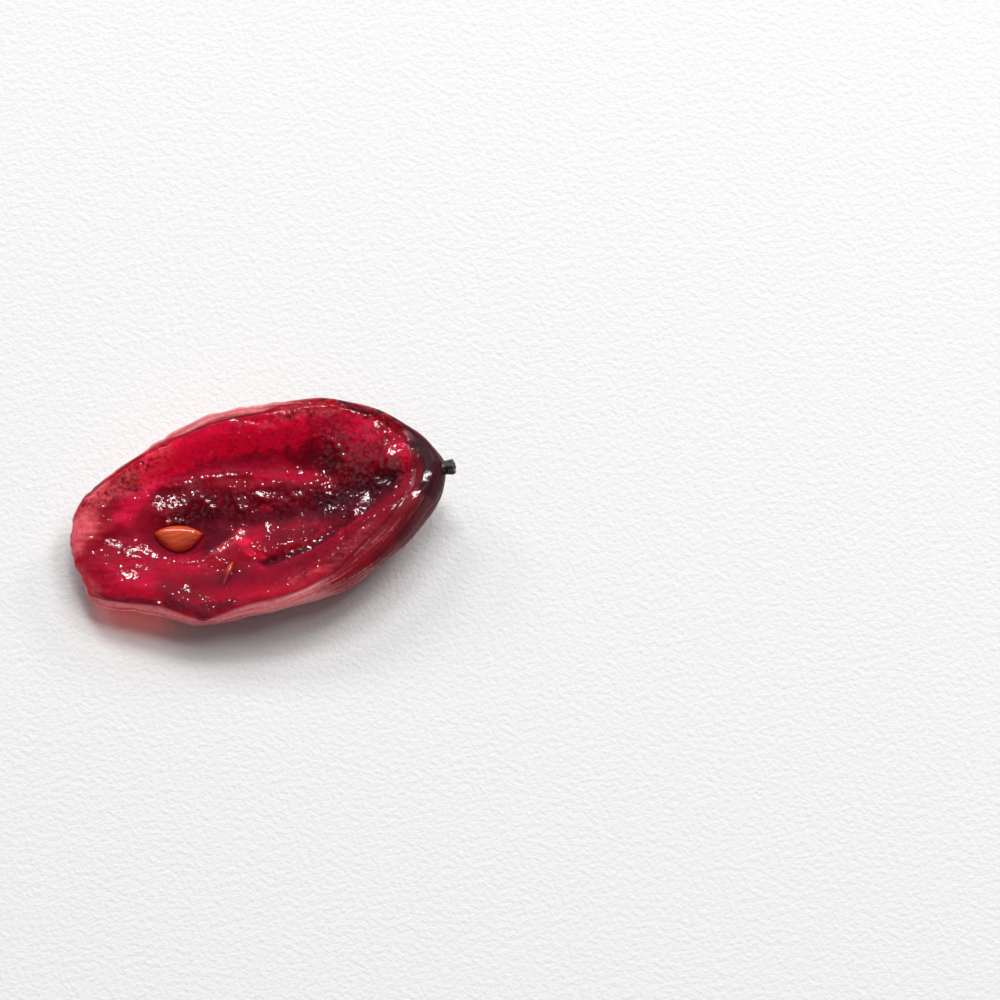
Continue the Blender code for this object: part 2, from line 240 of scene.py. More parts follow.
# Where the syrup stayed smooth and glossy, in strips of the same kind: on the wall between the chambers, on
# the blister and the swelling beside it, over the seed, and on the rounded stem end.
GLOSSY = (
    (((-2.18, 1.36), (-1.88, 0.92)), 0.10, 1.0),
    (((-0.68, 0.60), (-0.65, 0.88)), 0.14, 1.0),
    (((5.76, 0.14), (5.98, 0.74)), 0.24, 1.0),
    (((6.50, 0.86), (6.76, 0.44)), 0.06, 1.0),
    (((5.40, 0.30), (5.42, 0.70), (5.75, 1.06)), 0.05, 1.0),
    (((7.00, -0.76), (7.16, -0.60)), 0.12, 1.0),
    (((-3.95, 0.80), (-3.55, 0.82), (-3.05, 0.68)), 0.045, 1.0),
    (((5.60, -1.85), (6.45, -1.45)), 0.30, 0.8),
)

# Where the film is only specks, like spilt sugar: a line, the half width, and how thick the specks lie.
SPECKLED = (
    (((3.7, 1.9), (4.6, 0.9), (5.3, 1.6)), 0.90, 1.25),
    (((3.2, 0.2), (4.3, -0.3), (5.6, -0.1)), 0.95, 1.0),
    (((6.6, -0.2), (6.2, -0.9)), 0.40, 0.35),
    (((1.6, 3.45), (2.9, 3.35), (4.3, 3.15), (5.6, 2.45), (6.4, 1.75)), 0.32, 0.85),
    (((-7.3, 2.0), (-6.0, 2.4), (-4.4, 2.9)), 0.55, 0.8),
    (((-6.9, 0.3), (-5.6, -0.7), (-4.6, -1.5), (-2.6, -1.6)), 0.80, 0.40),
    (((-5.4, -2.9), (-4.0, -3.6), (-2.2, -3.9)), 0.28, 0.35),
    (((-0.6, -3.6), (1.0, -3.3), (2.9, -2.6), (4.3, -1.8)), 0.40, 0.45),
    (((-3.9, 1.3), (-1.7, 1.0), (0.6, 0.6), (2.6, 0.2)), 0.60, 0.6),
    (((-0.4, -1.6), (1.4, -1.6), (3.2, -1.5)), 0.60, 0.45),
    (((-1.6, 3.1), (0.6, 3.1), (2.4, 2.7)), 0.35, 0.30),
)

# Areas of colour on the fruit: a line, the half width of the strip along it, and its strength.
COLOUR_AREAS = {
    # Thick, dark flesh, with painted shade in the hollows, the gaps, the crack and beside the seed.
    "deep_and_shade": (
        (((2.7, 1.75), (3.4, 1.4)), 0.50, 0.55),
        (((-3.2, 0.75), (-1.7, 0.5), (-0.5, 0.15), (0.8, -0.1), (2.0, -0.35), (2.9, -0.4)), 0.50, 0.85),
        (((-3.9, 1.5), (-2.2, 1.3), (-0.6, 0.9), (0.8, 0.7), (2.4, 0.4)), 0.45, 0.50),
        (((-2.30, 0.10), (-1.75, -0.25), (-2.5, -0.8)), 0.42, 1.0),
        (((-0.4, -2.15), (0.75, -2.05), (1.9, -1.9), (2.8, -1.65), (3.5, -1.45)), 0.22, 1.0),
        (((0.3, -1.1), (1.8, -1.2), (2.8, -1.1)), 0.55, 0.65),
        (((2.4, -3.0), (4.2, -2.2), (5.6, -1.4)), 0.75, 0.60),
        (((-4.8, 0.2), (-4.2, -0.5)), 0.40, 0.45),
        (((-4.4, -2.5), (-2.2, -2.7), (0.6, -2.9), (2.4, -2.6)), 0.75, 0.62),
        (((-7.6, -2.0), (-6.6, -2.6), (-5.4, -3.0)), 0.15, 0.80),
        (((-4.7, -3.2), (-3.6, -3.8), (-2.3, -4.0)), 0.30, 0.85),
        (((-3.7, -4.1), (-3.3, -4.3)), 0.30, 0.95),
    ),
    # The purple-black flesh and skin at the stem end.
    "purple": (
        (((2.9, -0.1), (4.2, -0.15), (5.3, -0.3)), 0.62, 0.95),
        (((3.2, -0.7), (4.6, -0.8), (5.2, -0.5)), 0.60, 1.0),
        (((7.1, 1.0), (7.4, 0.3), (7.3, -0.6), (7.0, -1.3)), 0.40, 1.0),
        (((7.9, 0.8), (8.1, 0.0), (7.8, -0.9)), 0.70, 1.0),
        (((7.3, -1.3), (6.6, -2.1), (5.5, -3.0)), 0.42, 0.60),
        (((5.5, -3.0), (4.2, -3.9)), 0.34, 0.40),
        (((5.4, 2.75), (6.1, 2.4), (6.6, 1.9), (7.0, 1.4)), 0.24, 0.85),
        (((3.8, 3.62), (4.4, 3.32), (5.3, 2.66)), 0.24, 0.85),
        (((-7.2, 2.35), (-6.0, 3.00), (-4.7, 3.50)), 0.16, 0.55),
    ),
    # Painted light: a brighter red where light shines through thin or clear flesh from behind.
    "painted_lit_through": (
        (((-5.7, 1.3), (-4.3, 2.4)), 0.46, 0.40),
        (((-4.3, 2.6), (-2.8, 3.0), (-1.0, 3.1), (1.1, 2.9), (2.4, 2.7)), 0.50, 0.95),
        (((2.4, 2.7), (3.6, 2.3), (5.2, 1.8)), 0.60, 0.50),
        (((4.3, 1.4), (5.0, 0.75)), 0.45, 0.25),
        (((5.6, 0.5), (6.4, 0.45)), 0.50, 0.28),
        (((-3.6, 2.42), (-2.0, 2.6), (-0.3, 2.45), (1.3, 2.15)), 0.50, 0.26),
        (((0.4, 1.7), (1.6, 1.5), (2.4, 1.2)), 0.42, 0.30),
        (((-1.2, -0.75), (-0.9, -1.0)), 0.20, 0.55),
        (((-0.95, -1.5), (-0.45, -1.85)), 0.18, 0.45),
        (((-0.60, -2.3), (-0.40, -2.4)), 0.14, 0.55),
        (((-0.02, 0.30), (0.27, 0.36), (0.52, 0.32)), 0.07, 1.0),
        (((2.1, -0.3), (2.3, -1.3)), 0.16, 0.5),
        (((-6.9, -1.6), (-5.6, -2.2)), 0.60, 0.22),
    ),
    # Rough, grainy flesh, where the knife dragged.
    "rough": (
        (((-7.2, 1.9), (-6.0, 2.2), (-4.4, 2.8), (-3.4, 3.1)), 0.42, 1.0),
        (((1.8, 3.35), (3.0, 3.3), (4.2, 3.1)), 0.28, 0.8),
        (((0.6, -3.75), (2.2, -3.4), (4.2, -2.4)), 0.34, 0.35),
    ),
    # The pale, salmon-red tip and the bruised rim beside it.
    "pale": (
        (((-7.85, 1.0), (-7.35, 1.25)), 0.52, 0.95),
        (((-8.0, 0.3), (-7.75, 0.7)), 0.34, 0.8),
        (((-6.8, 2.3), (-6.2, 2.55)), 0.22, 0.7),
        (((-5.3, 2.7), (-4.9, 2.85)), 0.16, 0.5),
        (((-8.1, -0.6), (-7.6, -1.6)), 0.22, 0.30),
        (((-2.4, -1.05), (-1.9, -0.95), (-1.2, -0.66), (-0.95, -0.4)), 0.20, 0.22),
    ),
}

# The thin near edge, under which a painted glow stands in for the light that comes through the flesh and
# falls on the paper.
GLOW_LINE = ((-7.3, -2.1), (-6.4, -2.7), (-5.4, -3.0))
GLOW_HALF_WIDTH = 0.6
# The strips' edges wander sideways in waves of two sizes: (size of the waves, how far they wander).
EDGE_WANDER = ((0.50, 0.16), (0.15, 0.06))
# Where the skin is pinched and folded under on the near side, and half how long the pinch is.
PINCH_X = -3.45
PINCH_HALF_LENGTH = 0.42
PINCH_DEPTH = 0.10

# How high each kind of fine relief stands. The creases and worms have three heights: everywhere, more in
# the crumpled film, and more where the syrup lies like sugar.
WRINKLE_HEIGHT = 0.020
CREASE_HEIGHTS = (0.006, 0.012, 0.034)
WORM_HEIGHTS = (0.006, 0.012, 0.042)
PEBBLE_HEIGHT = 0.007
FIBRE_HEIGHT = 0.012
# The ragged lip of the cut edge, and how much lower it is towards the stem end.
LIP_HEIGHT = 0.035
LIP_LOWERED = 0.020
SKIN_WRINKLE_HEIGHT = 0.05
SKIN_LINE_HEIGHT = 0.022
TIP_FOLD_HEIGHT = 0.05


def smooth_step(low, high, value):
    """0 below low, 1 above high, and a smooth rise between them."""
    t = np.clip((value - low) / (high - low), 0.0, 1.0)
    return t * t * (3.0 - 2.0 * t)


def round_the_edge(column, theta):
    """One column of CUT_EDGE at the angles theta, as a smooth closed curve."""
    edge = np.array(CUT_EDGE)
    ahead = (edge[:, 0] - FACE_CENTRE[0]) / FACE_HALF[0]
    aside = (edge[:, 1] - FACE_CENTRE[1]) / FACE_HALF[1]
    station_deg = np.degrees(np.arctan2(aside, ahead)) % 360.0
    every_deg = np.arange(360.0)
    order = np.argsort(station_deg)
    values = np.interp(every_deg, station_deg[order], edge[order, column], period=360.0)
    offsets = np.minimum(every_deg, 360.0 - every_deg)
    kernel = np.exp(-0.5 * (offsets / EDGE_SMOOTHING_DEG) ** 2)
    kernel /= kernel.sum()
    smooth = np.real(np.fft.ifft(np.fft.fft(values) * np.fft.fft(kernel)))
    return np.interp(np.degrees(theta) % 360.0, every_deg, smooth, period=360.0)


def noise_at(points, sizes, offset):
    """Smooth noise from -1 to 1 at each point, with bumps of the given sizes along X, Y and Z."""
    scaled = points / np.array(sizes) + offset
    return np.array([noise.noise(Vector(p)) for p in scaled])


def distance_to_line(x, y, line):
    """How far each plan point is from a line of several straight pieces."""
    nearest = np.full(x.shape, np.inf)
    for (ax, ay), (bx, by) in zip(line[:-1], line[1:]):
        along = np.array((bx - ax, by - ay))
        t = ((x - ax) * along[0] + (y - ay) * along[1]) / (along @ along)
        t = np.clip(t, 0.0, 1.0)
        nearest = np.minimum(nearest, np.hypot(x - ax - t * along[0], y - ay - t * along[1]))
    return nearest


def oval_share(x, y, at, half, turn_deg):
    """How far out each plan point is in a turned oval: 0 at its middle, 1 on its edge."""
    turn = math.radians(turn_deg)
    across, up = x - at[0], y - at[1]
    ahead = (across * math.cos(turn) + up * math.sin(turn)) / half[0]
    aside = (up * math.cos(turn) - across * math.sin(turn)) / half[1]
    return np.hypot(ahead, aside)


def oval_height(x, y, form):
    """The height that an oval form adds at each plan point, fading out round the oval's edge."""
    return form["height"] * np.exp(-(oval_share(x, y, form["at"], form["half"], form["turn_deg"]) ** 3))


def face_relief(x, y):
    """The ridges, grooves, hollows and bumps of the cut face, as a height to add to the dish."""
    height = np.zeros_like(x)
    for form in RIDGES_AND_GROOVES:
        share = distance_to_line(x, y, form["line"]) / form["half_width"]
        height += form["height"] * np.exp(-(share**2))
    for form in HOLLOWS_AND_BUMPS:
        height += oval_height(x, y, form)
    return height


def edge_swellings(x, y, z):
    """The swellings across the cut edge, as a height to add where the surface is high enough."""
    height = np.zeros_like(x)
    for form in EDGE_SWELLINGS:
        height += oval_height(x, y, form)
    return height * smooth_step(*SWELLING_REACH, z)


def face_points(theta, share):
    """Points of the cut face, from its centre (share 0) to the cut edge (share 1)."""
    x = FACE_CENTRE[0] + (round_the_edge(0, theta) - FACE_CENTRE[0]) * share
    y = FACE_CENTRE[1] + (round_the_edge(1, theta) - FACE_CENTRE[1]) * share
    lean = (round_the_edge(2, theta) - EDGE_MEAN_HEIGHT) * share**1.5
    z = EDGE_MEAN_HEIGHT + lean - DISH_DEPTH * (1.0 - smooth_step(*DISH_WALL, share))
    inside = 1.0 - smooth_step(RELIEF_FADES_PAST, 1.0, share)
    bumps = noise_at(np.column_stack((x, y, z)), (FLESH_BUMP_SIZE,) * 3, 7.3)
    z += inside * (face_relief(x, y) + FLESH_BUMP_HEIGHT * bumps)
    return np.column_stack((x, y, z + edge_swellings(x, y, z)))


def skin_points(theta, share):
    """Points of the skin, from the cut edge (share 0) over the shoulder to the belly (share 1)."""
    edge = np.column_stack([round_the_edge(column, theta) for column in range(4)])
    outward = edge[:, :2] - np.array(BELLY_CENTRE)
    reach = np.linalg.norm(outward, axis=1, keepdims=True)
    outward /= reach
    bulge = edge[:, 3]
    drop = SHOULDER_DROP + SHOULDER_DROP_PER_BULGE * bulge
    turn = np.clip(share / SHOULDER_SHARE, 0.0, 1.0) * math.pi / 2.0
    past_edge = bulge * np.sin(turn)
    z = edge[:, 2] - drop * (1.0 - np.cos(turn))
    z += SHOULDER_DOME_PER_BULGE * bulge * np.sin(2.0 * turn)
    sink = np.clip((share - SHOULDER_SHARE) / (1.0 - SHOULDER_SHARE), 0.0, 1.0) * math.pi / 2.0
    radius = (reach[:, 0] + past_edge) * np.cos(sink)
    z = z * (1.0 - np.sin(sink))
    plan = np.array(BELLY_CENTRE) + outward * radius[:, None]
    folds = noise_at(np.column_stack((plan, z)), (FOLD_LENGTH, FOLD_WIDTH, FOLD_WIDTH), 2.7)
    folded = smooth_step(*FOLDS_GROW_IN, share) * (1.0 - smooth_step(*FOLDS_FADE_OUT, share))
    plan += outward * (FOLD_DEPTH * folds * folded)[:, None]
    z = np.maximum(z - BELLY_FLATTENING, 0.0)
    return np.column_stack((plan, z + edge_swellings(*plan.T, z)))


def gridded_ball():
    """A ball made from a gridded cube, with each point's angle round Z and its share of the way from the
    top to the middle (0 to 1) and on to the bottom (1 to 2)."""
    mesh = bmesh.new()
    bmesh.ops.create_cube(mesh, size=2.0)
    for axis, squares in enumerate(HALF_SQUARES):
        lengthwise = [e for e in mesh.edges if abs(e.verts[0].co[axis] - e.verts[1].co[axis]) > 1.0]
        bmesh.ops.subdivide_edges(mesh, edges=lengthwise, cuts=2 * squares - 1, use_grid_fill=True)
    cube = np.array([v.co for v in mesh.verts])
    # The tangent keeps the squares nearly even when the cube is rounded to a ball.
    ball = np.tan(cube * math.pi / 4.0)
    ball /= np.linalg.norm(ball, axis=1, keepdims=True)
    theta = np.arctan2(ball[:, 1], ball[:, 0])
    share = np.arccos(np.clip(ball[:, 2], -1.0, 1.0)) / (math.pi / 2.0)
    share[np.abs(cube[:, 2]) < 1e-6] = 1.0
    return mesh, theta, share


def move_points(mesh, points):
    """Moves the mesh's points and gives the new normals."""
    for vertex, point in zip(mesh.verts, points):
        vertex.co = point
    mesh.normal_update()
    return np.array([v.normal for v in mesh.verts])


def creases(points, size, offset):
    """Sharp, branching creases from 0 in the creases to 1 on the swellings between them."""
    warp_offsets = (offset + 11.0, offset + 23.0, offset + 37.0)
    warp = 0.35 * size * np.column_stack([noise_at(points, (1.7 * size,) * 3, own) for own in warp_offsets])
    return np.abs(noise_at(points + warp, (size,) * 3, offset)) * 2.2


def strips(x, y, areas):
    """How strongly each plan point lies in a set of soft-edged strips, from 0 to 1."""
    strength = np.zeros_like(x)
    for line, half_width, most in areas:
        strength = np.maximum(strength, most * np.exp(-((distance_to_line(x, y, line) / half_width) ** 3)))
    return strength


def level_out(points, on_top, line, half_width, most):
    """Pools a strip of the cut face nearly level across its line, as syrup does before it dries."""
    along = np.linspace(0.0, len(line) - 1.0, 4 * len(line))
    turns = np.arange(len(line))
    stations = np.column_stack([np.interp(along, turns, column) for column in np.array(line).T])
    reach = on_top & (distance_to_line(points[:, 0], points[:, 1], line) < 2.0 * half_width)
    near = points[reach]
    away = np.hypot(near[:, None, 0] - stations[:, 0], near[:, None, 1] - stations[:, 1])
    heights = near[np.argmin(away, axis=0), 2]
    weights = np.exp(-((away / (0.6 * half_width)) ** 2)) + 1e-9
    tilted = heights + LEVEL_TILT * (near[:, None, 1] - stations[:, 1])
    level = (weights * tilted).sum(axis=1) / weights.sum(axis=1)
    share = most * np.exp(-((distance_to_line(near[:, 0], near[:, 1], line) / half_width) ** 4))
    points[reach, 2] += share * (level - near[:, 2])


def wander(points, offsets):
    """A small sideways wander, which makes the edges of the strips ragged."""
    waves = zip(EDGE_WANDER, offsets)
    return sum(reach * noise_at(points, (size,) * 3, offset) for (size, reach), offset in waves)


def height_in(heights, film, sugar):
    """The height of a kind of relief at each point, from its heights everywhere, in film and in sugar."""
    return heights[0] + heights[1] * film + heights[2] * sugar


mesh, theta, share = gridded_ball()
on_face = share <= 1.0
points = np.where(on_face[:, None], face_points(theta, share), skin_points(theta, share - 1.0))
lumps = np.zeros(len(points))
for at, half, lump_height in LUMPS:
    lumps += lump_height * np.exp(-(oval_share(points[:, 0], points[:, 1], at, half, 0.0) ** 4))
points[:, 2] += lumps * (share < 1.1)
for line, half_width, most in CRUMPLED_FILM:
    level_out(points, share < 1.15, line, half_width * 1.15, most)
normals = move_points(mesh, points)
x, y, z = points.T

# What each point is: film, sugar, gloss, or one of the colour areas, which end on the skin's underside.
ragged_x = x + wander(points, (41.0, 43.0))
ragged_y = y + wander(points, (47.0, 53.0))
film = strips(ragged_x, ragged_y, CRUMPLED_FILM) * (share < 1.12)
sugar = strips(ragged_x, ragged_y, SPECKLED) * (share < 1.06)
gloss = strips(x, y, GLOSSY) * (share < 1.6)
above = 1.0 - smooth_step(1.30, 1.65, share)
areas = {name: strips(ragged_x, ragged_y, shapes) * above for name, shapes in COLOUR_AREAS.items()}

# On the far side, at the tip and in the pinch the flesh runs on over the edge, so that less skin shows.
thin_skin = smooth_step(-3.2, -2.2, x) * (1.0 - smooth_step(0.9, 1.9, x))
pinch = np.exp(-(((ragged_x - PINCH_X) / PINCH_HALF_LENGTH) ** 2)) * (y < -3.0)
rolled_in = 0.075 * smooth_step(0.5, 2.0, y) * (1.0 - 0.6 * thin_skin)
rolled_in = np.maximum(rolled_in, 0.20 * (1.0 - smooth_step(-7.3, -6.5, x)) * smooth_step(-2.6, -1.6, y))
rolled_in = np.maximum(rolled_in, 0.20 * pinch)
skin_line = np.exp(-(((share - 1.0 - rolled_in) / 0.014) ** 2))

# A painted glow, given as emission, where light comes through the flesh: on the underside of the near edge,
# and in the near rim itself.
glow = smooth_step(1.10, 1.22, share) * (1.0 - smooth_step(1.45, 1.65, share))
glow *= smooth_step(0.0, 0.3, -normals[:, 2])
glow *= np.exp(-((distance_to_line(x, y, GLOW_LINE) / GLOW_HALF_WIDTH) ** 3))
lit_rim = smooth_step(0.99, 1.01, share) * (1.0 - smooth_step(1.16, 1.28, share))
lit_rim *= smooth_step(-1.0, -2.2, y) * (1.0 - smooth_step(0.5, 2.5, x)) * (1.0 - pinch)
# The smooth, tight skin towards the stem end, and a painted sheen on its near side where the skin turns
# under: a pale reflection of the white paper.
smooth_shoulder = smooth_step(1.0, 3.0, x)
painted_sheen = smooth_step(0.0, 2.0, x) * (1.0 - smooth_step(3.5, 6.5, x)) * (y < 0.0)
painted_sheen *= smooth_step(1.12, 1.26, share)

# Fine relief: first the ups and downs of each kind, then their sum at the heights above.
edge_band = smooth_step(0.86, 0.97, share) * on_face
near_edge = np.exp(-(((share - 1.0) / 0.012) ** 2))
wrinkle = creases(points, 0.55, 3.1) - 0.5
crease = creases(points, 0.30, 8.7) - 0.5
worms = noise_at(points, (0.17, 0.17, 0.17), 12.3)
pebble = noise_at(points, (0.09, 0.09, 0.09), 5.5)
lengthwise = np.array(((0.97, 0.24, 0), (-0.24, 0.97, 0), (0, 0, 1.0)))
fibres = noise_at(points @ lengthwise, (1.4, 0.12, 0.12), 4.2)
lip = noise_at(points, (0.28, 0.28, 0.28), 6.1) + 0.6 * noise_at(points, (0.10, 0.10, 0.10), 7.7)
skin_wrinkle = creases(points, 0.9, 1.3) - 0.5
rim_lines = noise_at(np.column_stack((x, y, 52.0 * share)), (1.8, 1.8, 1.0), 15.2)
tip_folds = noise_at(points @ lengthwise, (1.3, 0.20, 0.40), 21.7) * (1.0 - smooth_step(-7.0, -5.8, x))

rise = on_face * (
    WRINKLE_HEIGHT * wrinkle
    + crease * height_in(CREASE_HEIGHTS, film, sugar)
    + worms * height_in(WORM_HEIGHTS, film, sugar)
    + PEBBLE_HEIGHT * pebble
    + FIBRE_HEIGHT * fibres * (0.3 + 0.7 * edge_band * smooth_step(-3.0, 1.0, x))
)
rise += near_edge * (LIP_HEIGHT - LIP_LOWERED * smooth_shoulder) * lip
rise += TIP_FOLD_HEIGHT * tip_folds * smooth_step(0.5, 0.8, share)
rise += (~on_face) * (
    SKIN_WRINKLE_HEIGHT * skin_wrinkle * smooth_step(1.0, 1.05, share) * (1.0 - 0.75 * smooth_shoulder)
    + SKIN_LINE_HEIGHT * rim_lines
    - PINCH_DEPTH * pinch * (1.0 - smooth_step(1.05, 1.35, share))
)
# The relief fades out towards the paper.
rise *= np.clip(z / 0.25, 0.0, 1.0)
points = points + normals * rise[:, None]
points[:, 2] = np.maximum(points[:, 2], 0.0)
points[:, :2] -= BOX_MIDDLE
move_points(mesh, points)

flesh_and_skin = bpy.data.meshes.new("flesh_and_skin")
mesh.to_mesh(flesh_and_skin)
mesh.free()
flesh_and_skin.transform(Matrix.Scale(MM, 4))
flesh_and_skin.shade_smooth()
for name, values in {
    "skin": np.clip((share - 0.995 - rolled_in) / 0.01, 0.0, 1.0),
    "film": film,
    "sugar": sugar,
    "gloss": gloss,
    "edge_line": skin_line,
    "shoulder": smooth_shoulder,
    "painted_sheen": painted_sheen,
    "rim_lines": rim_lines,
    "glow": glow,
    "lit_rim": lit_rim,
    **areas,
}.items():
    attribute = flesh_and_skin.attributes.new(name, "FLOAT", "POINT")
    attribute.data.foreach_set("value", np.asarray(values, np.float32))
fruit = bpy.data.objects.new("flesh_and_skin", flesh_and_skin)
bpy.context.scene.collection.objects.link(fruit)


class Wire:
    """The output of a material's node. Arithmetic with numbers or other wires adds Math nodes."""

    def __init__(self, tree, socket):
        self.tree = tree
        self.socket = socket

    @classmethod
    def node(cls, tree, kind, settings=None, sockets=None, output=0):
        """Any node: its type, its settings, and the values or wires of its sockets."""
        made = tree.nodes.new(kind)
        for name, value in (settings or {}).items():
            setattr(made, name, value)
        fill_sockets(tree, made, sockets or {})
        return cls(tree, made.outputs[output])

    def math(self, operation, *others, clamp=False):
        settings = {"operation": operation, "use_clamp": clamp}
        return Wire.node(self.tree, "ShaderNodeMath", settings, dict(enumerate((self, *others))))

    def __add__(self, other):
        return self.math("ADD", other)

    def __radd__(self, other):
        return self.math("ADD", other)

    def __mul__(self, other):
        return self.math("MULTIPLY", other)

    def __rmul__(self, other):
        return self.math("MULTIPLY", other)

    def __sub__(self, other):
        return self.math("SUBTRACT", other)

    def __rsub__(self, other):
        return (self * -1.0).math("ADD", other)

    def clamped(self):
        return self.math("ADD", 0.0, clamp=True)

    def between(self, low, high):
        """0 below low, 1 above high."""
        return ((self - low) * (1.0 / (high - low))).clamped()

    def mix(self, first, second):
        """The first value where this is 0, the second where it is 1."""
        return self * (second - first) + first

    def blend(self, first, second):
        """The first colour where this is 0, the second where it is 1."""
        settings = {"data_type": "RGBA", "clamp_factor": True}
        return Wire.node(self.tree, "ShaderNodeMix", settings, {0: self, 6: first, 7: second}, output=2)


def fill_sockets(tree, node, sockets):
    """Sets each of the node's sockets to its value, or links its wire to it."""
    for key, value in sockets.items():
        if isinstance(value, Wire):
            tree.links.new(value.socket, node.inputs[key])
        else:
            node.inputs[key].default_value = value


def new_finish(name):
    """A new material with its node tree and its Principled shader."""
    material = bpy.data.materials.new(name)
    material.use_nodes = True
    tree = material.node_tree
    return material, tree, tree.nodes["Principled BSDF"]


def attribute_wire(tree, name):
    """What a mesh's points say under this name."""
    return Wire.node(tree, "ShaderNodeAttribute", {"attribute_name": name}, output=2)


def speckle(tree, per_mm, detail, stretch=(1.0, 1.0, 1.0), roughness=0.6):
    """Noise with this many bumps to the millimetre, which can be stretched along the fruit."""
    place = Wire.node(tree, "ShaderNodeTexCoord", output=3)
    stretched = Wire.node(tree, "ShaderNodeVectorMath", {"operation": "MULTIPLY"}, {0: place, 1: stretch})
    sockets = {"Vector": stretched, "Scale": per_mm / MM, "Detail": detail, "Roughness": roughness}
    return Wire.node(tree, "ShaderNodeTexNoise", {}, sockets)


def fine_bump(tree, height, distance, strength=1.0):
    """Relief too fine for the mesh: a height from 0 to 1, and how many millimetres 1 stands for."""
    sockets = {"Strength": strength, "Distance": distance * MM, "Height": height}
    return Wire.node(tree, "ShaderNodeBump", {}, sockets)


FLESH_RED = (0.370, 0.007, 0.026, 1.0)
# A brighter red, painted light where light shines through thin flesh.
FLESH_PAINTED_LIT_THROUGH = (0.980, 0.010, 0.095, 1.0)
# A dark red for thick flesh, also used as painted shade in the hollows and gaps.
FLESH_DEEP_AND_SHADE = (0.155, 0.006, 0.018, 1.0)
FLESH_PURPLE = (0.112, 0.008, 0.018, 1.0)
FLESH_DARK = (0.060, 0.004, 0.012, 1.0)
FLESH_PALE = (0.860, 0.150, 0.190, 1.0)
SKIN_RED = (0.250, 0.010, 0.022, 1.0)
SKIN_PALE = (0.740, 0.290, 0.315, 1.0)
SKIN_PURPLE = (0.050, 0.010, 0.016, 1.0)
# Painted glow, given as emission: pink in the thin near rim, and red on the underside of the near edge,
# which lights the paper under it.
NO_GLOW = (0.0, 0.0, 0.0, 1.0)
RIM_GLOW = (0.130, 0.035, 0.040, 1.0)
UNDERSIDE_GLOW = (0.650, 0.035, 0.022, 1.0)
GRAIN_DEPTH = 0.012
# Red light gets much further through the flesh than green and blue.
LIGHT_REACH = 1.8
LIGHT_REACH_RGB = (1.0, 0.12, 0.10)

finish, tree, shader = new_finish("dried_flesh_and_skin")
skin = attribute_wire(tree, "skin")
film_wire = attribute_wire(tree, "film")
sugar_wire = attribute_wire(tree, "sugar")
gloss_wire = attribute_wire(tree, "gloss")
shoulder = attribute_wire(tree, "shoulder")
lines = attribute_wire(tree, "rim_lines")
deep_and_shade = attribute_wire(tree, "deep_and_shade")
purple = attribute_wire(tree, "purple")
painted_lit_through = attribute_wire(tree, "painted_lit_through")
rough = attribute_wire(tree, "rough")
pale = attribute_wire(tree, "pale")
blotches = speckle(tree, 0.9, 4.0)
grain = speckle(tree, 5.0, 3.0)
fine_grain = speckle(tree, 9.0, 2.0)
streaks = speckle(tree, 3.0, 3.0, (0.25, 1.0, 1.0))

# The flesh, from red to a brighter red that is painted light shining through, to deep red that is thick
# flesh and painted shade in the hollows, to purple and pale, with dark grain under the syrup.
flesh = (painted_lit_through * (grain * 2.4 + 0.05) + (streaks - 0.5) * 0.8).clamped().blend(FLESH_RED, FLESH_PAINTED_LIT_THROUGH)
flesh = (deep_and_shade * 1.1 + (blotches - 0.5) * 0.9).clamped().blend(flesh, FLESH_DEEP_AND_SHADE)
flesh = (purple * 1.25 + (grain - 0.5) * 0.7 * purple).clamped().blend(flesh, FLESH_PURPLE)
flesh = (pale * 1.05 + (grain + streaks - 1.0) * 1.3 * pale).clamped().blend(flesh, FLESH_PALE)
flesh = (rough * (0.5 * (grain + streaks) - 0.42) * 3.2).clamped().blend(flesh, FLESH_PALE)
flesh = (rough * (0.98 - grain - streaks) * 1.6).clamped().blend(flesh, FLESH_DEEP_AND_SHADE)
under_syrup = (film_wire + sugar_wire * 0.8 + 0.22).clamped()
flesh = ((0.50 - grain) * 2.7 * under_syrup).clamped().blend(flesh, FLESH_DARK)

# The skin, pale with lines along the rim, red on the shoulder and purple at the stem end, and paler still
# where a painted sheen stands for the paper's reflection on the near side.
paleness = lines * 0.65 + (grain - 0.5) * 0.9 + 0.62 - shoulder * 0.80 + attribute_wire(tree, "painted_sheen") * 0.36
outside = paleness.clamped().blend(SKIN_RED, SKIN_PALE)
darkness = purple * 1.3 + (blotches - 0.5) * 1.4 * purple + lines * 0.15
outside = darkness.clamped().blend(outside, SKIN_PURPLE)
colour = skin.blend(flesh, outside)
colour = (attribute_wire(tree, "edge_line") * 0.6).blend(colour, FLESH_DEEP_AND_SHADE)

# The dried syrup: squiggles and small patches where the film is crumpled, and specks where it lies like
# sugar.
squiggle = speckle(tree, 4.4, 1.0) - 0.5
squiggle = 1.0 - squiggle.math("ABSOLUTE").between(0.022, 0.050)
patch = speckle(tree, 3.1, 2.0).between(0.53, 0.58)
speck = (speckle(tree, 7.0, 1.0) + sugar_wire * 0.19).between(0.68, 0.73)
syrup_on_flesh = film_wire.between(0.30, 0.50) * (squiggle + patch) + speck + gloss_wire
syrup_on_skin = gloss_wire + shoulder * 0.10 * (1.0 - purple)
syrup = (syrup_on_flesh * (1.0 - skin) + skin * syrup_on_skin).clamped()

